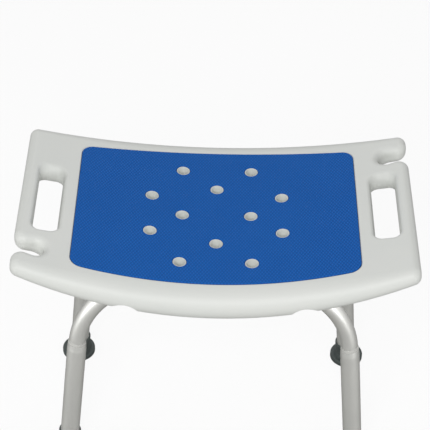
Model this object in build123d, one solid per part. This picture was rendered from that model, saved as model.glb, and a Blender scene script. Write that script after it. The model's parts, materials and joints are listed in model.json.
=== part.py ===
from build123d import *
import math
import os

# Height-adjustable shower stool, millimetres.
# +X runs along the seat to the sitter's left-hand grip, +Y to the rear and +Z up.
# The origin is on the floor below the middle of the seat, and the legs are at their lowest setting.

# Seat moulding
seat_length = 500.0
seat_depth = 310.0
seat_end_depth = 271.0
seat_height = 350.0
seat_dish = 36.6
seat_thickness = 44.0
seat_end_thickness = 24.0
seat_section_steps = 5
end_rim_radius = 9.5

# Hand grips at both ends of the seat
grip_bar_width = 19.0
grip_hole_width = 31.0
grip_hole_depth = 111.0
grip_lean = 9.5
grip_hole_corner = 10.0
grip_side_flare = 3.0
grip_end_flare = 9.0
grip_flare_overrun = 4.0
grip_edge_radius = 5.0

# Notches that hold a hand shower or its hose
hose_notch_inset = 40.5
hose_notch_depth = 37.5
hose_pocket_radius = 11.5
hose_wall_taper = 12.0
hose_lip_radius = 13.0

# Grooves across the underside, which show as scallops in the front and rear rims
relief_groove_x = 112.0
relief_groove_width = 37.0
relief_groove_height = 18.0

# Foam pad in its recess
pad_grip_margin = 21.0
pad_side_margin = 29.4
pad_roll_land = 2.9
pad_bow = 11.6
pad_corner_radius = 16.0
pad_thickness = 4.8
pad_recess_depth = 4.2
pad_recess_edge_radius = 1.5
pad_edge_gap = 0.5
pad_glue_gap = 0.25
pad_edge_radius = 1.2

# Drains through the pad and the seat, as offsets of one quarter of the pattern
drain_offsets = [(44.0, 0.0), (0.0, 52.3), (84.0, 34.0), (45.0, 88.2)]
drain_pad_radius = 9.0
drain_boss_gap = 0.6
drain_boss_setback = 1.2
drain_rim_width = 0.8
drain_bore_radius = 4.2
drain_funnel_depth = 13.0

# Bent frame tubes
tube_diameter = 22.2
tube_wall = 1.2
frame_spacing = 141.1
frame_corner_x = 168.4
frame_bend_radius = 120.0
leg_splay = 5.36
frame_tilt = 4.07
tube_bed_depth = 9.1
tube_bed_gap = 0.3
tail_end_height = 27.0

# Leg sleeves and their height setting
sleeve_gap = 0.3
sleeve_wall = 1.3
sleeve_bend_gap = 2.0
sleeve_mouth_wall = 0.5
sleeve_mouth_length = 9.0
setting_pitch = 25.0
setting_top_margin = 19.0
setting_hole_gap = 0.4
button_tail_margin = 23.0

# Snap buttons on their leaf springs
button_radius = 3.75
button_stand_out = 3.0
button_dome_radius = 2.4
rivet_radius = 1.5
rivet_hole_gap = 0.1
rivet_head_radius = 2.6
rivet_head_height = 0.9
spring_width = 8.0
spring_thickness = 0.8
spring_wall_gap = 0.3
spring_fold_half_width = 4.0
spring_fold_radius = 3.6
spring_free_length = 6.5
spring_straight_length = 14.0
spring_arm_length = 40.0

# Rubber feet with a steel washer under each sleeve
foot_base_overhang = 8.5
foot_base_height = 7.5
foot_rim_radius = 2.6
foot_collar_wall = 2.2
foot_collar_height = 34.0
foot_collar_edge = 1.4
foot_neck_flare = 4.5
foot_neck_height = 17.0
foot_socket_gap = 0.1
foot_sole_thickness = 8.0
foot_tread_radii = [(6.5, 9.5), (13.5, 17.0)]
foot_tread_depth = 1.6
washer_thickness = 1.5
washer_hole_radius = 5.0

# Screws that hold the frames to inserts in the seat
screw_bend_margin = 3.0
screw_radius = 2.5
screw_hole_gap = 0.3
screw_head_radius = 4.75
screw_head_height = 3.2
screw_head_edge = 1.2
screw_drive_width = 1.4
screw_drive_length = 5.0
screw_drive_depth = 1.6
insert_wall = 1.7
insert_gap = 0.05
insert_length = 12.0
insert_setback = 1.0
insert_hole_extra = 1.5
saddle_radius = 6.0
saddle_thickness = 1.2
saddle_gap = 0.05

# Derived places
half_length = seat_length / 2
half_depth = seat_depth / 2
end_half_depth = seat_end_depth / 2
underside_height = seat_height - seat_thickness
underside_dish = seat_dish + seat_thickness - seat_end_thickness
tube_radius = tube_diameter / 2
tube_bore = tube_radius - tube_wall
sleeve_bore = tube_radius + sleeve_gap
sleeve_radius = sleeve_bore + sleeve_wall
setting_hole_radius = button_radius + setting_hole_gap
foot_socket_radius = sleeve_radius + foot_socket_gap
foot_collar_radius = foot_socket_radius + foot_collar_wall
foot_neck_radius = foot_collar_radius + foot_neck_flare
foot_base_radius = foot_collar_radius + foot_base_overhang
screw_hole_radius = screw_radius + screw_hole_gap
insert_radius = screw_radius + insert_wall
drain_boss_radius = drain_pad_radius - drain_boss_gap
drain_rim_radius = drain_boss_radius - drain_rim_width
seat_roll = pad_side_margin - pad_edge_gap - pad_roll_land
end_roll = seat_end_thickness / 2
frame_y = frame_spacing / 2
frame_height = underside_height + tube_bed_depth - tube_radius
grip_hole_x = half_length - grip_bar_width - grip_hole_width / 2
pad_half_length = grip_hole_x - grip_hole_width / 2 - pad_grip_margin
pad_half_depth = half_depth - pad_side_margin
clear_height = 100.0
corner_tolerance = 0.01

splay = math.radians(leg_splay)
tilt = math.radians(frame_tilt)
bend_tangent = frame_bend_radius * math.tan(math.radians(90 - leg_splay) / 2)
screw_x = frame_corner_x - bend_tangent - saddle_radius - screw_bend_margin
leg_drop = math.cos(splay) * math.cos(tilt)
axis_to_floor = frame_height / leg_drop
floor_run = axis_to_floor - bend_tangent
tail_length = floor_run - tail_end_height / leg_drop
button_run = tail_length - button_tail_margin
sleeve_end_run = floor_run - foot_sole_thickness - washer_thickness
setting_count = int((button_run - sleeve_bend_gap - setting_top_margin) / setting_pitch) + 1


def arc_radius(rise):
    """Radius of an arc along the seat that is level at the middle and rises by rise at the end."""
    return (half_length**2 + rise**2) / (2 * rise)


def arc_rise(x, rise):
    """Height of that arc at x above its middle."""
    radius = arc_radius(rise)
    return radius - math.sqrt(radius**2 - x**2)


def bow_edge(length, depth, end_depth):
    """A front edge, from one end to the other, that bulges forwards at the middle."""
    return ThreePointArc((-length, -end_depth), (0, -depth), (length, -end_depth))


def dished_slab(bottom, top):
    """A wide slab that follows the dish of the seat's top, to be cut to an outline."""
    edges = [
        ThreePointArc((-half_length, bottom + seat_dish), (0, bottom), (half_length, bottom + seat_dish)),
        Line((half_length, bottom + seat_dish), (half_length, top + seat_dish)),
        ThreePointArc((half_length, top + seat_dish), (0, top), (-half_length, top + seat_dish)),
        Line((-half_length, top + seat_dish), (-half_length, bottom + seat_dish)),
    ]
    return extrude(Plane.XZ * make_face(edges), seat_depth, both=True)


def upright(face, bottom=0.0, height=seat_height + 2 * clear_height):
    """A flat outline raised to a prism."""
    return extrude(Pos(0, 0, bottom) * face, height)


def seat_levels(x):
    """Heights of the seat's underside and top at x."""
    return underside_height + arc_rise(x, underside_dish), seat_height + arc_rise(x, seat_dish)


def seat_section(x):
    """Section across the seat at x: level above and below, with rolled front and rear edges."""
    bottom, top = seat_levels(x)
    middle, half = (bottom + top) / 2, (top - bottom) / 2
    roll = seat_roll + (end_roll - seat_roll) * (x / half_length) ** 2
    reach = half_depth - arc_rise(x, half_depth - end_half_depth) - roll
    edges = [
        Line((-reach, bottom), (reach, bottom)),
        EllipticalCenterArc((reach, middle), roll, half, -90, arc_size=180),
        Line((reach, top), (-reach, top)),
        EllipticalCenterArc((-reach, middle), roll, half, 90, arc_size=180),
    ]
    return Plane.YZ.offset(x) * make_face(edges)


def hose_notch():
    """Notch in the left end near the front: a round pocket whose mouth narrows towards the end."""
    taper = math.radians(hose_wall_taper)
    wall_x = -hose_pocket_radius * math.sin(taper)
    wall_y = hose_pocket_radius * math.cos(taper)
    mouth_x = -hose_notch_depth
    mouth_y = wall_y - (wall_x - mouth_x) * math.tan(taper)
    mouth = [(wall_x, wall_y), (mouth_x, mouth_y), (mouth_x, -mouth_y), (wall_x, -wall_y)]
    face = Circle(hose_pocket_radius) + make_face(Polyline(*mouth, close=True))
    pocket_x = hose_notch_depth - hose_pocket_radius - half_length
    return upright(Pos(pocket_x, hose_notch_inset - end_half_depth) * face)


def is_upright(edge):
    """Whether an edge of the seat is a straight line along Z."""
    return edge.geom_type == GeomType.LINE and abs(edge.tangent_at(0).Z) > 1 - corner_tolerance


def end_rims(body):
    """The edges round both ends of the seat and round its notches: all but the upright ones there."""
    walls = body.faces().sort_by(SortBy.AREA)[:-4]
    return [edge for wall in walls for edge in wall.edges() if not is_upright(edge)]


def grip_opening(side):
    """Hand hole that leans with the seat, narrowest half-way through and flared towards both faces."""
    x = side * grip_hole_x
    bottom, top = seat_levels(x)
    half = (top - bottom) / 2
    place = Pos(x, 0, bottom + half) * Rot(0, -side * grip_lean, 0)
    sections = []
    for level in (-half - grip_flare_overrun, 0, half + grip_flare_overrun):
        flare = (level / half) ** 2
        width = grip_hole_width + 2 * grip_side_flare * flare
        depth = grip_hole_depth + 2 * grip_end_flare * flare
        corner = grip_hole_corner + grip_side_flare * flare
        sections.append(place * Pos(0, 0, level) * RectangleRounded(width, depth, corner))
    return loft(sections)


def pad_outline(gap=0.0):
    """Plan of the pad, or of its recess with a gap all round."""
    length, depth = pad_half_length + gap, pad_half_depth + gap
    end_depth = depth - pad_bow
    front = bow_edge(length, depth, end_depth)
    edges = [
        front,
        Line((length, -end_depth), (length, end_depth)),
        front.rotate(Axis.Z, 180),
        Line((-length, end_depth), (-length, -end_depth)),
    ]
    face = make_face(edges).face()
    return face.fillet_2d(pad_corner_radius + gap, face.vertices())


def drain_places():
    """Centres of the drains, mirrored over both middle lines."""
    places = {(sx * x, sy * y) for x, y in drain_offsets for sx in (-1, 1) for sy in (-1, 1)}
    return sorted({(x + 0.0, y + 0.0) for x, y in places})


def level_faces(shape):
    """The two widest faces of the seat or the pad: its underside and its top."""
    return shape.faces().sort_by(SortBy.AREA)[-2:].sort_by(Axis.Z)


def seat():
    """Blow-moulded seat with grips, hose notches, pad recess, drains and beds for the frame tubes."""
    steps = range(-seat_section_steps, seat_section_steps + 1)
    body = loft([seat_section(half_length * step / seat_section_steps) for step in steps])
    notch = hose_notch()
    body = (body - notch - notch.rotate(Axis.Z, 180)).solid()
    ends = [edge for edge in body.edges() if half_length - abs(edge.center().X) < corner_tolerance]
    body = body.fillet(hose_lip_radius, [edge for edge in ends if is_upright(edge)])
    body = body.fillet(end_rim_radius, end_rims(body))

    body = (body - grip_opening(-1) - grip_opening(1)).solid()
    for level in (-1, 0):
        edges = [edge for wire in level_faces(body)[level].inner_wires() for edge in wire.edges()]
        body = body.fillet(grip_edge_radius, edges)

    floor = seat_height - pad_recess_depth
    recess = upright(pad_outline(pad_edge_gap))
    body -= recess & dished_slab(floor, seat_height + clear_height)
    body = body.solid()
    body = body.fillet(pad_recess_edge_radius, recess_rim(body))
    boss_top = floor + pad_glue_gap + pad_thickness - drain_boss_setback
    bosses = dished_slab(floor - drain_funnel_depth, boss_top)
    funnel = Cone(drain_bore_radius, drain_rim_radius, drain_funnel_depth)
    for x, y in drain_places():
        rim = boss_top + arc_rise(x, seat_dish)
        body += upright(Pos(x, y) * Circle(drain_boss_radius)) & bosses
        body -= Pos(x, y, rim - drain_funnel_depth / 2) * funnel
        body -= upright(Pos(x, y) * Circle(drain_bore_radius))
        body -= upright(Pos(x, y) * Circle(drain_rim_radius), rim)
    for side in (-1, 1):
        body -= Pos(0, side * frame_y, frame_height) * tube_bed()
        body -= Pos(side * relief_groove_x, 0, 0) * relief_groove()
    pocket = upright(Circle(insert_radius + insert_gap), 0, insert_end() + insert_hole_extra)
    for x, y in screw_places():
        body -= Pos(x, y, frame_height) * pocket
    return body.solid()


def recess_rim(body):
    """The edges where the pad's recess opens in the seat's top."""
    top = max(body.faces(), key=lambda face: len(face.inner_wires()))
    return top.inner_wires().sort_by(SortBy.LENGTH)[-1].edges()


def tube_bed():
    """Round-topped channel along X that a frame tube lies in, open below."""
    radius = tube_radius + tube_bed_gap
    profile = Circle(radius) + Pos(0, -radius) * Rectangle(2 * radius, 2 * radius)
    return extrude(Plane.YZ * profile, half_length, both=True)


def relief_groove():
    """Shallow round groove across the underside from front to rear."""
    chord = relief_groove_width / 2
    radius = (chord**2 + relief_groove_height**2) / (2 * relief_groove_height)
    crown = underside_height + arc_rise(relief_groove_x, underside_dish) + relief_groove_height
    return extrude(Plane.XZ * (Pos(0, crown - radius) * Circle(radius)), seat_depth, both=True)


def seat_pad():
    """Foam pad that lies in the recess and stands slightly proud of it."""
    bottom = seat_height - pad_recess_depth + pad_glue_gap
    body = upright(pad_outline()) & dished_slab(bottom, bottom + pad_thickness)
    for x, y in drain_places():
        body -= upright(Pos(x, y) * Circle(drain_pad_radius))
    body = body.solid()
    return body.fillet(pad_edge_radius, level_faces(body)[-1].edges())


def leg_direction(side_x, side_y):
    """Unit vector down one leg."""
    across = math.cos(splay) * math.sin(tilt)
    return Vector(side_x * math.sin(splay), side_y * across, -leg_drop)


def leg_plane(side_x, side_y):
    """Plane at the lower end of a bend, with Z down the leg and X to the rear, the button's side."""
    down = leg_direction(side_x, side_y)
    corner = Vector(side_x * frame_corner_x, side_y * frame_y, frame_height)
    rearward = Vector(0, 1, 0)
    rearward = (rearward - down * rearward.dot(down)).normalized()
    return Plane(origin=corner + down * bend_tangent, x_dir=rearward, z_dir=down)


def ring(outer, inner, start, length):
    """A tube along Z from start."""
    return extrude(Pos(0, 0, start) * (Circle(outer) - Circle(inner)), length)


def cross_hole(run, radius):
    """Hole along X through the wall on the button's side of a tube."""
    return Pos(sleeve_radius, 0, run) * Rot(0, 90, 0) * Cylinder(radius, 2 * sleeve_radius)


def frame_tube(side_y):
    """One U-shaped tube: a level run under the seat, two bends and two straight tails."""
    facing = Vector(0, -math.cos(tilt), -side_y * math.sin(tilt))
    middle = (0, side_y * frame_y, frame_height)
    plane = Plane(origin=middle, x_dir=(1, 0, 0), z_dir=facing)
    tail = bend_tangent + tail_length
    end = (frame_corner_x + tail * math.sin(splay), -tail * math.cos(splay))
    points = [(-end[0], end[1]), (-frame_corner_x, 0), (frame_corner_x, 0), end]
    path = plane * FilletPolyline(*points, radius=frame_bend_radius)
    start = Plane(origin=path @ 0, z_dir=path % 0)
    body = sweep(start * (Circle(tube_radius) - Circle(tube_bore)), path=path)
    for side_x in (-1, 1):
        body -= leg_plane(side_x, side_y) * cross_hole(button_run, setting_hole_radius)
    for x, y in screw_places():
        body -= Pos(x, y) * upright(Circle(screw_hole_radius))
    return body.solid()


def leg_sleeve():
    """Outer tube of a leg with a thinned mouth and a row of setting holes, in the leg's own plane."""
    profile = [
        (sleeve_bore, sleeve_bend_gap),
        (sleeve_bore + sleeve_mouth_wall, sleeve_bend_gap),
        (sleeve_radius, sleeve_bend_gap + sleeve_mouth_length),
        (sleeve_radius, sleeve_end_run),
        (sleeve_bore, sleeve_end_run),
    ]
    body = revolve(Plane.XZ * make_face(Polyline(*profile, close=True)), Axis.Z)
    for step in range(setting_count):
        body -= cross_hole(button_run - step * setting_pitch, setting_hole_radius)
    return body.solid()


def foot_washer():
    """Steel washer between a sleeve's end and its rubber foot, in the leg's own plane."""
    return ring(sleeve_radius, washer_hole_radius, sleeve_end_run, washer_thickness).solid()


def foot(plane):
    """Rubber foot with a level base, a neck and a collar that grips the sleeve."""
    down = plane.z_dir
    place = plane.origin + down * floor_run
    base = Pos(place.X, place.Y, 0) * upright(Circle(foot_base_radius), 0, foot_base_height)
    base = fillet(base.edges().group_by(Axis.Z)[-1], foot_rim_radius)
    collar_run = floor_run - foot_collar_height / leg_drop
    neck_run = floor_run - foot_neck_height
    root_run = floor_run - foot_base_height / 2
    profile = [
        (0, collar_run),
        (foot_collar_radius, collar_run),
        (foot_collar_radius, neck_run),
        (foot_neck_radius, root_run),
        (0, root_run),
    ]
    stem = revolve(Plane.XZ * make_face(Polyline(*profile, close=True)), Axis.Z)
    stem = fillet(stem.edges().group_by(Axis.Z)[0], foot_collar_edge)
    body = base + plane * stem
    body -= plane * upright(Circle(foot_socket_radius), 0, floor_run - foot_sole_thickness)
    for inner, outer in foot_tread_radii:
        body -= Pos(place.X, place.Y) * ring(outer, inner, 0, foot_tread_depth)
    return body.solid()


def spring_face():
    """Distance from the tail's axis to the outer face of the spring's arms."""
    return math.sqrt(tube_bore**2 - (spring_width / 2) ** 2) - spring_wall_gap


def snap_spring():
    """Bent leaf spring inside a tail, in the leg's own plane, with its button's rivet hole."""
    arm = spring_face() - spring_thickness / 2
    free = button_run + spring_free_length
    parallel = button_run - spring_straight_length
    fold = button_run - spring_arm_length
    points = [(arm, free), (arm, parallel), (spring_fold_half_width, fold)]
    points += [(-x, run) for x, run in reversed(points)]
    path = Plane.XZ * FilletPolyline(*points, radius=spring_fold_radius)
    section = Plane(origin=path @ 0, x_dir=(1, 0, 0), z_dir=path % 0)
    body = sweep(section * Rectangle(spring_thickness, spring_width), path=path)
    return (body - cross_hole(button_run, rivet_radius + rivet_hole_gap)).solid()


def snap_button():
    """Domed button riveted to the spring's arm, in the leg's own plane."""
    outer = spring_face()
    inner = outer - spring_thickness
    tip = sleeve_radius + button_stand_out
    profile = [
        (inner - rivet_head_height, 0),
        (inner - rivet_head_height, rivet_head_radius),
        (inner, rivet_head_radius),
        (inner, rivet_radius),
        (outer, rivet_radius),
        (outer, button_radius),
        (tip, button_radius),
        (tip, 0),
    ]
    body = revolve(make_face(Polyline(*profile, close=True)), Axis.X)
    body = fillet(body.edges().group_by(Axis.X)[-1], button_dome_radius)
    return (Pos(0, 0, button_run) * body).solid()


def screw_places():
    """Centres of the four frame screws."""
    return [(sx * screw_x, sy * frame_y) for sx in (-1, 1) for sy in (-1, 1)]


def saddle_washer():
    """Washer with a curved top that follows the tube, below the middle of a screw."""
    bottom = -tube_radius - saddle_thickness
    body = upright(Circle(saddle_radius) - Circle(screw_hole_radius), bottom, -bottom)
    return (body - Rot(0, 90, 0) * Cylinder(tube_radius + saddle_gap, seat_depth)).solid()


def frame_screw():
    """Pan-head screw from below, with a plain shank in place of its thread and a cross recess."""
    seat_face = -tube_radius - saddle_thickness
    top = insert_end()
    head = upright(Circle(screw_head_radius), seat_face - screw_head_height, screw_head_height)
    head = fillet(head.edges().group_by(Axis.Z)[0], screw_head_edge)
    body = head + upright(Circle(screw_radius), seat_face, top - seat_face)
    for turn in (0, 90):
        slot = Rectangle(screw_drive_length, screw_drive_width).face().rotate(Axis.Z, turn)
        body -= upright(slot, seat_face - screw_head_height, screw_drive_depth)
    return body.solid()


def threaded_insert():
    """Metal insert moulded into the seat above the tube."""
    return ring(insert_radius, screw_radius + insert_gap, insert_start(), insert_length).solid()


def insert_start():
    """Height of an insert's lower end above the frame tube's axis."""
    return tube_radius + tube_bed_gap + insert_setback


def insert_end():
    """Height of an insert's upper end above the frame tube's axis."""
    return insert_start() + insert_length


def at_screws(piece):
    """Copies of a fastener at the four screws."""
    return Compound([Pos(x, y, frame_height) * piece for x, y in screw_places()])


def main():
    nodes = {
        "seat": seat(),
        "seat_pad": seat_pad(),
        "frame_screws": at_screws(frame_screw()),
        "saddle_washers": at_screws(saddle_washer()),
        "threaded_inserts": at_screws(threaded_insert()),
    }
    for row, side_y in (("front", -1), ("rear", 1)):
        nodes[f"{row}_frame"] = frame_tube(side_y)
        for hand, side_x in (("left", -1), ("right", 1)):
            plane = leg_plane(side_x, side_y)
            leg = f"{row}_{hand}"
            nodes[f"{leg}_leg"] = plane * leg_sleeve()
            nodes[f"{leg}_foot"] = foot(plane)
            nodes[f"{leg}_foot_washer"] = plane * foot_washer()
            nodes[f"{leg}_snap_button"] = plane * snap_button()
            nodes[f"{leg}_snap_spring"] = plane * snap_spring()
    os.makedirs("parts", exist_ok=True)
    for name, shape in nodes.items():
        export_step(shape, f"parts/{name}.step")
    print("settings", setting_count, "travel", (setting_count - 1) * setting_pitch)


main()
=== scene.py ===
# %% [markdown]
# # A shower stool with adjustable legs
#
# The real stool is a blow-moulded plastic seat with a foam pad let into its top. Two bent aluminium
# tubes are screwed under the seat, and four sleeves with rubber feet slide on the tube ends. Spring
# buttons lock each sleeve at one of six heights.
#
# The measured model already has every rigid piece at its true size. It is loaded first as a fixed frame.
# This lesson then adds what the drawing doesn't hold: a camera, light, finishes, the necked sleeve mouths
# and the embossed foam.

# %% Load the measured frame
import json
import math

import bmesh
import bpy
from mathutils import Matrix, Vector
from mathutils.bvhtree import BVHTree


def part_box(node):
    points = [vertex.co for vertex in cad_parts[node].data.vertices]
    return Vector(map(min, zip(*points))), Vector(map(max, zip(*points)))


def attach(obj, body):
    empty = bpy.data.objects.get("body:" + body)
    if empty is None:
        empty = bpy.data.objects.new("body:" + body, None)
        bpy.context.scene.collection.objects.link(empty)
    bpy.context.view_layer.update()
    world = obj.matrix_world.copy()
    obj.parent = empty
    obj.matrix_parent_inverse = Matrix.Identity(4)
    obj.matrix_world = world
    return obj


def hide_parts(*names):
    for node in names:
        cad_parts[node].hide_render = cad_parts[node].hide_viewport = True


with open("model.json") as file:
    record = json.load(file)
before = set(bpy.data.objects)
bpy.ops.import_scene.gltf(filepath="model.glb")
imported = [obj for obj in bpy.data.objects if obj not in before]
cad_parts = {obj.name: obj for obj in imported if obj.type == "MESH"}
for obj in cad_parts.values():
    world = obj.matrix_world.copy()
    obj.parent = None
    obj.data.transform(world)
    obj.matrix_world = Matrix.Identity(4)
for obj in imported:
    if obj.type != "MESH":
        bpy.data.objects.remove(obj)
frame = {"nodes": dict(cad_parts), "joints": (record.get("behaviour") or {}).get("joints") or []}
scene = bpy.context.scene
nodes = frame["nodes"]
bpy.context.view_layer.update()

# %% [markdown]
# ## The camera
#
# A product photograph is usually taken from a few steps away with a long lens, so the legs hardly
# converge. The camera could be placed by eye, but three angles, a distance and a lens fitted to the
# outline of the seat repeat the view exactly. Blender's camera looks down its own -Z, so it is tipped up
# about X, turned about Z and then pushed back along its own axis.

# %% Camera
PICTURE_SIDE = 430
FOCAL_PIXELS = 1550
SENSOR_WIDTH = 36.0
CAMERA_AIM = Vector((-0.0020, 0.0, 0.3518))
CAMERA_DISTANCE = 1.9876
CAMERA_YAW = math.radians(-0.25)
CAMERA_PITCH = math.radians(41.39)
CAMERA_ROLL = math.radians(1.47)

camera = bpy.data.objects.new("camera", bpy.data.cameras.new("camera"))
scene.collection.objects.link(camera)
bpy.context.scene.camera = camera
camera.data.sensor_width = SENSOR_WIDTH
camera.data.lens = SENSOR_WIDTH * FOCAL_PIXELS / PICTURE_SIDE
tip = Matrix.Rotation(math.pi / 2 - CAMERA_PITCH, 4, "X")
turn = Matrix.Rotation(CAMERA_YAW, 4, "Z") @ tip @ Matrix.Rotation(CAMERA_ROLL, 4, "Z")
back_off = Matrix.Translation((0, 0, CAMERA_DISTANCE))
camera.matrix_world = Matrix.Translation(CAMERA_AIM) @ turn @ back_off
camera_place = [round(x, 3) for x in camera.matrix_world.translation]
print("camera at", camera_place, "lens", round(camera.data.lens, 1))

# %% [markdown]
# ## Shader maths as Python
#
# A finish is a small node tree. Wiring it by hand takes many lines, so one class wraps a socket: the
# usual operators add Math nodes, and `node` adds any other kind, with its settings first and its inputs
# after. `1 - mask` then reads like the sum that it is.

# %% A socket that can be calculated with
class Value:
    """One socket of a node tree. Arithmetic on it adds Math nodes, and node() adds any other node."""

    def __init__(self, tree, socket=None):
        self.tree = tree
        self.socket = socket

    def node(self, kind, inputs=None, output=0, **settings):
        """Adds a node, applies its settings, feeds its inputs and returns one output."""
        made = self.tree.nodes.new(kind)
        for name, setting in settings.items():
            setattr(made, name, setting)
        for name, value in (inputs or {}).items():
            self.feed(made.inputs[name], value)
        return Value(self.tree, made.outputs[output])

    def feed(self, socket, value):
        """Links a Value to a socket, or sets a plain number or colour on it."""
        if isinstance(value, Value):
            self.tree.links.new(value.socket, socket)
        else:
            socket.default_value = value

    def maths(self, operation, left, right):
        """Adds one Math node with two inputs."""
        return self.node("ShaderNodeMath", {0: left, 1: right}, operation=operation)

    def __add__(self, other):
        return self.maths("ADD", self, other)

    def __sub__(self, other):
        return self.maths("SUBTRACT", self, other)

    def __rsub__(self, other):
        return self.maths("SUBTRACT", other, self)

    def __mul__(self, other):
        return self.maths("MULTIPLY", self, other)

    __radd__ = __add__
    __rmul__ = __mul__


SCREEN_GAMMA = 2.2


def screen(red, green, blue):
    """A colour as it looks on a screen, 0 to 255, as the linear colour that a shader takes."""
    return tuple((c / 255) ** SCREEN_GAMMA for c in (red, green, blue)) + (1.0,)


WHITE = screen(255, 255, 255)
print("white is", WHITE)

# %% [markdown]
# ## Floor and light
#
# The stool stands on a plain pale sweep. A floor lit to pure white would also flood the object with
# light, so the floor that lights the stool is a mid grey. The camera sees white paper in its place, which
# is mostly clear to the white world behind it and keeps a soft shadow. The lamps stay at a plain level:
# soft boxes by the camera and high behind the stool light the seat, and two low ones at the sides give the
# bent tubes their white highlights.

# %% World
WORLD_LEVEL = 0.35

scene.view_settings.view_transform = "Standard"
scene.world = bpy.data.worlds.new("studio")
scene.world.use_nodes = True
studio = Value(scene.world.node_tree)
background = scene.world.node_tree.nodes["Background"]
background.inputs["Color"].default_value = WHITE


def camera_ray(start):
    """1 for a ray straight from the camera, and 0 for all others."""
    return start.node("ShaderNodeLightPath", output="Is Camera Ray")


def mirror_ray(start):
    """1 for a ray that a shiny or clear surface sends on, and 0 for the rays that light the object."""
    glossy = start.node("ShaderNodeLightPath", output="Is Glossy Ray")
    clear = start.node("ShaderNodeLightPath", output="Is Transmission Ray")
    return start.maths("MAXIMUM", glossy, clear)


plain_white = camera_ray(studio) + mirror_ray(studio)
studio.feed(background.inputs["Strength"], WORLD_LEVEL + plain_white * (1 - WORLD_LEVEL))
print("world lights at", WORLD_LEVEL, "and looks white")

# %% Floor
FLOOR_SIDE = 12.0
FLOOR_GAP = 0.0004
FLOOR_GREY = screen(178, 178, 176)
CLEAR_TO_CAMERA = 0.9
CLEAR_TO_MIRRORS = 0.02


def new_object(name, data):
    """Links a mesh or a lamp to the scene as an object at the origin."""
    made = bpy.data.objects.new(name, data)
    scene.collection.objects.link(made)
    return made


def blend_shaders(share, first, second):
    """First shader where the share is 0, second where it is 1."""
    return first.node("ShaderNodeMixShader", {0: share, 1: first, 2: second})


def floor_material():
    """Grey matt floor. The camera sees white paper instead, mostly clear, on which the shadow stays."""
    material = bpy.data.materials.new("floor_pale")
    material.use_nodes = True
    tree = material.node_tree
    start = Value(tree)
    grey = start.node("ShaderNodeBsdfDiffuse", {"Color": FLOOR_GREY})
    white = start.node("ShaderNodeBsdfDiffuse", {"Color": WHITE})
    clear = start.node("ShaderNodeBsdfTransparent")
    mirrored = blend_shaders(mirror_ray(start) * CLEAR_TO_MIRRORS, grey, clear)
    paper = blend_shaders(CLEAR_TO_CAMERA, white, clear)
    seen = blend_shaders(camera_ray(start), mirrored, paper)
    start.feed(tree.nodes["Material Output"].inputs["Surface"], seen)
    return material


ground = bmesh.new()
bmesh.ops.create_grid(ground, x_segments=1, y_segments=1, size=FLOOR_SIDE / 2)
bmesh.ops.translate(ground, verts=ground.verts, vec=(0, 0, -FLOOR_GAP))
floor_mesh = bpy.data.meshes.new("floor")
ground.to_mesh(floor_mesh)
ground.free()
floor = new_object("floor", floor_mesh)
floor.data.materials.append(floor_material())
print("floor at", -FLOOR_GAP)

# %% Lamps
SEAT_MIDDLE = Vector((0, 0, 0.33))


def soft_box(name, place, side, power):
    """A square area lamp that faces the seat. Its side is in metres and its power in watts."""
    lamp = bpy.data.lights.new(name, "AREA")
    lamp.shape = "SQUARE"
    lamp.size = side
    lamp.energy = power
    made = new_object(name, lamp)
    facing = (SEAT_MIDDLE - Vector(place)).to_track_quat("-Z", "Y")
    made.matrix_world = Matrix.Translation(place) @ facing.to_matrix().to_4x4()


soft_box("front_soft_box", place=(-0.3, -1.75, 1.75), side=0.9, power=23.6)
soft_box("rear_soft_box", place=(0, 1.1, 1.6), side=1.0, power=5.2)
soft_box("left_soft_box", place=(-1.65, -0.85, 0.42), side=0.85, power=6.2)
soft_box("right_soft_box", place=(1.15, -1.2, 0.42), side=0.75, power=5)

# %% [markdown]
# ## Finishes
#
# Each finish starts from Blender's Principled shader. The pieces sit at the origin with their place in
# their mesh, so Object coordinates are real metres: a Noise scale of 1000 gives grains of a millimetre,
# whatever the size of the piece.

# %% Helpers for the finishes
def new_finish(name):
    """A node material: itself, its Principled shader's inputs and the Object coordinates to start from."""
    material = bpy.data.materials.new(name)
    material.use_nodes = True
    tree = material.node_tree
    place = Value(tree).node("ShaderNodeTexCoord", output="Object")
    return material, tree.nodes["Principled BSDF"].inputs, place


def noise(place, grains_per_metre, detail=2.0):
    """Cloudy value from 0 to 1 with grains of a given size."""
    return place.node("ShaderNodeTexNoise", {"Vector": place, "Scale": grains_per_metre, "Detail": detail})


def blend_colours(share, first, second):
    """First colour where the share is 0, second where it is 1."""
    # A Mix node holds sockets for each kind of data: those for colours are inputs 6 and 7 and output 2.
    return share.node("ShaderNodeMix", {0: share, 6: first, 7: second}, output=2, data_type="RGBA")


def relief(height, depth):
    """A normal that makes a height from 0 to 1 look like relief of a given depth in metres."""
    return height.node("ShaderNodeBump", {"Height": height, "Strength": 1.0, "Distance": depth})


def dress(material, *names):
    """Gives CAD nodes a material in place of their plain one."""
    for name in names:
        nodes[name].data.materials.clear()
        nodes[name].data.materials.append(material)
    print(material.name, "on", len(names), "nodes")


def named(ending):
    """The nodes whose name ends with some words."""
    return [name for name in nodes if name.endswith(ending)]


print("feet", named("_foot"))

# %% [markdown]
# ### Moulded plastic
#
# The seat is blow-moulded polyethylene, a plain grey white. The mould was blasted, so the skin has a fine
# pebble grain, and the soft plastic shrinks a little as it cools, which leaves slow ripples. Both are
# bump, because they are far smaller than the edges that were modelled.

# %% Seat plastic
PLASTIC_DARK = screen(215, 218, 214)
PLASTIC_LIGHT = screen(223, 224, 220)
PLASTIC_ROUGHNESS = 0.40
PEBBLE_ROUGHNESS = 0.16
PEBBLE_SHARE = 0.12


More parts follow.
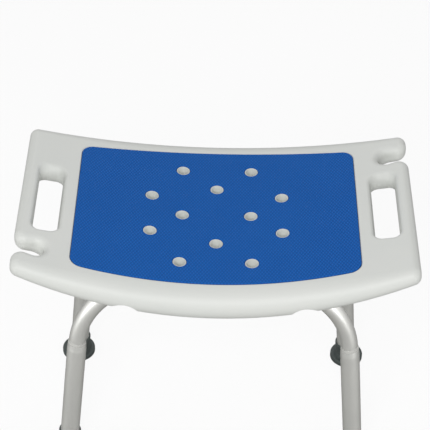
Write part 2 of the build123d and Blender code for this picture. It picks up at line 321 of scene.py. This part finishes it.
def seat_plastic():
    """Grey-white plastic with a pebble grain, slow ripples and slight clouds."""
    material, shader, place = new_finish("seat_plastic_moulded")
    pebble = noise(place, grains_per_metre=1300, detail=3)
    ripple = noise(place, grains_per_metre=22, detail=1)
    cloud = noise(place, grains_per_metre=9, detail=3)
    place.feed(shader["Base Color"], blend_colours(cloud, PLASTIC_DARK, PLASTIC_LIGHT))
    place.feed(shader["Roughness"], PLASTIC_ROUGHNESS + pebble * PEBBLE_ROUGHNESS)
    place.feed(shader["Normal"], relief(pebble * PEBBLE_SHARE + ripple, depth=0.0004))
    return material


dress(seat_plastic(), "seat")

# %% [markdown]
# ### Satin aluminium
#
# The tubes are anodised after a light blasting, so they are grey with a broad, soft shine. A mirror-like
# metal would show the floor too sharply. The oxide layer swallows light that skims it, so a tube looks
# darker along its edges, and a dark Specular Tint does that. Drawn tubes also keep faint lines along their
# length, which are noise that is stretched in the direction of the leg.

# %% Satin aluminium
METAL_DARK = (236, 236, 233)
METAL_LIGHT = (242, 242, 238)
EDGE_TINT = screen(100, 100, 98)
SATIN_ROUGHNESS = 0.42
CLOUD_ROUGHNESS = 0.04
LINE_ROUGHNESS = 0.08
LINE_STRETCH = 40


def satin_aluminium(name, along=None, roughness=SATIN_ROUGHNESS, painted_shade=0):
    """Blasted, anodised metal with drawn lines along an axis. Painted shade darkens its colour, in screen
    levels.
    """
    material, shader, place = new_finish(name)
    speck = noise(place, grains_per_metre=2600)
    cloud = noise(place, grains_per_metre=30, detail=3)
    lines = speck
    if along is not None:
        turn_back = along.to_track_quat("Z", "Y").to_euler()
        straight = place.node(
            "ShaderNodeMapping",
            {"Vector": place, "Rotation": turn_back, "Scale": (1, 1, LINE_STRETCH)},
            vector_type="TEXTURE",
        )
        lines = noise(straight, grains_per_metre=2200)
    shader["Metallic"].default_value = 1.0
    shader["Specular Tint"].default_value = EDGE_TINT
    # Painted shade: the colour is darkened by these screen levels, which only the neck uses.
    dark, light = (screen(*(c - painted_shade for c in tone)) for tone in (METAL_DARK, METAL_LIGHT))
    place.feed(shader["Base Color"], blend_colours(cloud, dark, light))
    place.feed(shader["Roughness"], roughness + cloud * CLOUD_ROUGHNESS + lines * LINE_ROUGHNESS)
    place.feed(shader["Normal"], relief(speck * 0.5 + lines * 0.5, depth=0.00002))
    return material


dress(satin_aluminium("tube_aluminium_satin"), "front_frame", "rear_frame")
slides = {joint["child"]: joint for joint in frame["joints"]}
leg_axes = {name: Vector(slides[name]["axis"]) for name in named("_leg")}
for name, axis in leg_axes.items():
    dress(satin_aluminium(name + "_aluminium", axis), name)

# %% [markdown]
# ### Sleeve mouths
#
# Each sleeve is necked down at its mouth until it almost touches the tube, so that no water or finger
# gets in and the leg looks like one tube. The CAD sleeve ends in a thin square lip, so a short cone
# carries it on. A cone primitive would have no wall, so a small profile is spun about the leg's axis. The
# necking roller makes the metal rougher, and painted shade darkens its colour against the glint of the
# tilted neck.

# %% Neck each sleeve onto its tube
NECK_LENGTH = 0.005
NECK_KNEE = 0.45
NECK_BULGE = 0.0002
NECK_PLAY = 0.00006
SLEEVE_PLAY = 0.0003
LIP_SLICE = 0.0002
NECK_STEPS = 96
NECK_SHARP = math.radians(40)
NECK_ROUGHNESS = 0.75
# Painted shade on the neck, in screen levels, against the glint that its tilted cone catches.
NECK_PAINTED_SHADE = 33


def lip_of(name, axis):
    """Middle of a sleeve's upper end, with the lip's inner and outer radius."""
    points = [vertex.co for vertex in nodes[name].data.vertices]
    upper = min(point.dot(axis) for point in points)
    ends = [point for point in points if point.dot(axis) < upper + LIP_SLICE]
    middle = sum(ends, Vector()) / len(ends)
    middle += axis * (upper - middle.dot(axis))
    radii = [(point - middle - axis * (point - middle).dot(axis)).length for point in ends]
    return middle, min(radii), max(radii)


# The neck's darker colour is painted shade that offsets the glint of its tilted cone.
neck_finish = satin_aluminium("neck_aluminium_rough_painted_shade", roughness=NECK_ROUGHNESS, painted_shade=NECK_PAINTED_SHADE)
for name, axis in leg_axes.items():
    middle, bore, lip = lip_of(name, axis)
    inner = bore - SLEEVE_PLAY + NECK_PLAY
    knee = (lip - NECK_BULGE, NECK_LENGTH * NECK_KNEE)
    profile = [(lip, 0), knee, (inner, NECK_LENGTH), (inner, 0)]
    neck = bmesh.new()
    ring = [neck.verts.new((radius, 0, height)) for radius, height in profile]
    wire = [neck.edges.new((ring[i - 1], ring[i])) for i in range(len(ring))]
    bmesh.ops.spin(
        neck, geom=ring + wire, cent=(0, 0, 0), axis=(0, 0, 1), angle=2 * math.pi,
        steps=NECK_STEPS, use_merge=True,
    )
    bmesh.ops.recalc_face_normals(neck, faces=neck.faces)
    upright = (-axis).to_track_quat("Z", "Y").to_matrix().to_4x4()
    bmesh.ops.transform(neck, verts=neck.verts, matrix=Matrix.Translation(middle) @ upright)
    neck_mesh = bpy.data.meshes.new(name + "_neck")
    neck.to_mesh(neck_mesh)
    open_edges = sum(edge.is_boundary for edge in neck.edges)
    neck.free()
    neck_mesh.shade_smooth()
    neck_mesh.set_sharp_from_angle(angle=NECK_SHARP)
    neck_mesh.materials.append(neck_finish)
    piece = new_object(name + "_neck", neck_mesh)
    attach(piece, name)
    print(piece.name, "bore", round(bore, 5), "lip", round(lip, 5), "open edges", open_edges)

# %% [markdown]
# ### Rubber
#
# The feet are moulded black rubber with a grey-green bloom. Rubber scatters light, so it is rough, and
# its mould leaves a grain like fine leather.

# %% Foot rubber
RUBBER_DARK = screen(52, 58, 57)
RUBBER_LIGHT = screen(76, 84, 82)
RUBBER_ROUGHNESS = 0.52
GRAIN_ROUGHNESS = 0.2


def foot_rubber():
    """Black rubber with a leathery grain and a patchy bloom."""
    material, shader, place = new_finish("foot_rubber_moulded")
    grain = noise(place, grains_per_metre=900, detail=4)
    bloom = noise(place, grains_per_metre=45, detail=3)
    place.feed(shader["Base Color"], blend_colours(bloom, RUBBER_DARK, RUBBER_LIGHT))
    place.feed(shader["Roughness"], RUBBER_ROUGHNESS + grain * GRAIN_ROUGHNESS)
    place.feed(shader["Normal"], relief(grain, depth=0.00012))
    return material


dress(foot_rubber(), *named("_foot"))

# %% [markdown]
# ### Small metal
#
# Buttons and springs are bright stainless steel, screws and washers are zinc-plated, and the inserts in
# the seat are brass. One function with a few numbers makes all of them.

# %% Steel and brass
SCUFF_ROUGHNESS = 0.12


def bright_metal(name, dark, light, roughness):
    """Plain metal with fine scuffs between two screen colours."""
    material, shader, place = new_finish(name)
    scuff = noise(place, grains_per_metre=700, detail=4)
    shader["Metallic"].default_value = 1.0
    place.feed(shader["Base Color"], blend_colours(scuff, screen(*dark), screen(*light)))
    place.feed(shader["Roughness"], roughness + scuff * SCUFF_ROUGHNESS)
    place.feed(shader["Normal"], relief(scuff, depth=0.00001))
    return material


steel = bright_metal("button_steel_bright", dark=(190, 190, 188), light=(208, 208, 205), roughness=0.18)
dress(steel, *named("_snap_button"), *named("_snap_spring"))
zinc = bright_metal("fastener_steel_zinc", dark=(176, 177, 176), light=(197, 197, 192), roughness=0.26)
dress(zinc, "frame_screws", "saddle_washers", *named("_foot_washer"))
brass = bright_metal("insert_brass_cast", dark=(190, 152, 84), light=(210, 174, 104), roughness=0.24)
dress(brass, "threaded_inserts")

# %% [markdown]
# ## The foam pad
#
# The pad is cut from a sheet of blue foam that was pressed between hot rollers, so it is covered in small
# raised diamonds, a little longer from front to rear than across. It could be a flat pad with a bump map,
# but the grooves catch light and show from the side, so they are real. The script follows the factory:
# emboss a sheet, lay it in the dish of the seat, and die-cut it. The die is the pad's CAD solid, which has
# the outline, the drains and the soft edge.

# %% Emboss the sheet
DIAMOND_WIDTH = 0.0041
DIAMOND_DEPTH = 0.0064
DIAMOND_GROOVE = 0.0005
DIAMOND_HEIGHT = 0.00035
SHEET_SKIN = 0.00003
SHEET_MARGIN = 0.006

pad_low, pad_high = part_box("seat_pad")
half_length = pad_high.x + SHEET_MARGIN
half_depth = pad_high.y + SHEET_MARGIN
cells = 2 * math.ceil(half_length / DIAMOND_WIDTH + half_depth / DIAMOND_DEPTH)
sheet = bmesh.new()
bmesh.ops.create_grid(sheet, x_segments=cells, y_segments=cells, size=cells / math.sqrt(2) / 2)
bmesh.ops.rotate(sheet, verts=sheet.verts, matrix=Matrix.Rotation(math.pi / 4, 3, "Z"))
bmesh.ops.scale(sheet, verts=sheet.verts, vec=(DIAMOND_WIDTH, DIAMOND_DEPTH, 1))
spare = []
for face in sheet.faces:
    middle = face.calc_center_median()
    if abs(middle.x) > half_length or abs(middle.y) > half_depth:
        spare.append(face)
bmesh.ops.delete(sheet, geom=spare, context="FACES")
diamonds = list(sheet.faces)
bmesh.ops.inset_individual(sheet, faces=diamonds, thickness=DIAMOND_GROOVE, depth=DIAMOND_HEIGHT)
print(len(diamonds), "diamonds,", len(sheet.faces), "faces")

# %% [markdown]
# The seat is dished along its length. A ray dropped on the CAD pad at two places measures that arc, and
# every point of the sheet is lifted by it. The rim of the sheet is then pulled down and closed, because a
# Boolean needs a solid.

# %% Lay the sheet in the dish
MEASURE_X = 0.160
RAY_START = 1.0

die_tree = BVHTree.FromObject(nodes["seat_pad"], bpy.context.evaluated_depsgraph_get())


def pad_top(x):
    """Height of the CAD pad's top on the line along its middle."""
    hit = die_tree.ray_cast(Vector((x, 0, RAY_START)), Vector((0, 0, -1)))[0]
    return hit.z


top_middle = pad_top(0)
rise = pad_top(MEASURE_X) - top_middle
dish_radius = (MEASURE_X**2 + rise**2) / (2 * rise)
groove_level = top_middle - SHEET_SKIN - DIAMOND_HEIGHT
for vertex in sheet.verts:
    lift = dish_radius - math.sqrt(dish_radius**2 - vertex.co.x**2)
    vertex.co.z += groove_level + lift
rim = [edge for edge in sheet.edges if edge.is_boundary]
skirt = bmesh.ops.extrude_edge_only(sheet, edges=rim)["geom"]
for vertex in [part for part in skirt if isinstance(part, bmesh.types.BMVert)]:
    vertex.co.z = pad_low.z - SHEET_MARGIN
bmesh.ops.holes_fill(sheet, edges=[part for part in skirt if isinstance(part, bmesh.types.BMEdge)])
bmesh.ops.recalc_face_normals(sheet, faces=sheet.faces)
print("dish radius", round(dish_radius, 4), "open edges", sum(e.is_boundary for e in sheet.edges))

# %% [markdown]
# The die is a copy of the CAD node with its loose triangles merged. The Boolean is evaluated once, and the
# result becomes the pad's own mesh, so no modifier is left to run.

# %% Die-cut the pad
MERGE = 1e-6
SOFT_EDGE = math.radians(60)


def merged_copy(node, name):
    """A CAD node's mesh as one closed skin."""
    skin = bmesh.new()
    skin.from_mesh(nodes[node].data)
    bmesh.ops.remove_doubles(skin, verts=skin.verts, dist=MERGE)
    bmesh.ops.recalc_face_normals(skin, faces=skin.faces)
    mesh = bpy.data.meshes.new(name)
    skin.to_mesh(mesh)
    skin.free()
    return mesh


sheet_mesh = bpy.data.meshes.new("embossed_sheet")
sheet.to_mesh(sheet_mesh)
sheet.free()
embossed = new_object("embossed_sheet", sheet_mesh)
die = new_object("pad_die", merged_copy("seat_pad", "pad_die"))
cut = embossed.modifiers.new("die_cut", "BOOLEAN")
cut.operation = "INTERSECT"
cut.solver = "EXACT"
cut.object = die
cut_sheet = embossed.evaluated_get(bpy.context.evaluated_depsgraph_get())
pad_mesh = bpy.data.meshes.new_from_object(cut_sheet)
pad_mesh.name = "foam_pad"
for helper in (embossed, die):
    bpy.data.objects.remove(helper)
pad_mesh.shade_smooth()
pad_mesh.set_sharp_from_angle(angle=SOFT_EDGE)
pad = new_object("foam_pad", pad_mesh)
print("pad faces", len(pad_mesh.polygons))

# %% [markdown]
# ### Foam
#
# Closed-cell foam has a skin of burst cells, so it is matt with a faint bloom. The blue is even, with a
# little clouding from the rollers, and painted shade makes it darker in the grooves. The distance to the
# nearest groove comes from the same two diamond sizes that embossed the sheet.

# %% Foam finish
# Width of the painted shade along the grooves, as a share of the distance between grooves.
GROOVE_SHADE_SHARE = 0.24
FOAM_DARK = screen(27, 95, 178)
FOAM_LIGHT = screen(34, 104, 190)
GROOVE_SHADE_BLUE = screen(22, 82, 156)
FOAM_SHINE = 0.12
FOAM_ROUGHNESS = 0.50
CELL_ROUGHNESS = 0.18


def pad_foam():
    """Matt blue foam with fine cells, slight clouds and painted shade in the grooves between the diamonds.
    """
    material, shader, place = new_finish("pad_foam_blue")
    cell = noise(place, grains_per_metre=2400, detail=3)
    cloud = noise(place, grains_per_metre=16, detail=4)
    across = place.node("ShaderNodeSeparateXYZ", {0: place}, output="X") * (1 / DIAMOND_WIDTH)
    back = place.node("ShaderNodeSeparateXYZ", {0: place}, output="Y") * (1 / DIAMOND_DEPTH)
    # Grooves run where the sum or the difference is whole. Ping-pong by a half gives the distance to one.
    falling = place.maths("PINGPONG", across + back, 0.5)
    rising = place.maths("PINGPONG", across - back, 0.5)
    to_groove = place.maths("MINIMUM", falling, rising)
    # Painted shade: the blue darkens towards each groove.
    groove_shade = place.maths("MAXIMUM", 1 - to_groove * (1 / GROOVE_SHADE_SHARE), 0.0)
    face_colour = blend_colours(cloud, FOAM_DARK, FOAM_LIGHT)
    place.feed(shader["Base Color"], blend_colours(groove_shade, face_colour, GROOVE_SHADE_BLUE))
    shader["Specular IOR Level"].default_value = FOAM_SHINE
    place.feed(shader["Roughness"], FOAM_ROUGHNESS + cell * CELL_ROUGHNESS)
    place.feed(shader["Normal"], relief(cell, depth=0.00004))
    return material


pad_mesh.materials.clear()
pad_mesh.materials.append(pad_foam())
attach(pad, "seat_frame")
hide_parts("seat_pad")
print("pad box", [round(x, 4) for corner in (pad_low, pad_high) for x in corner])
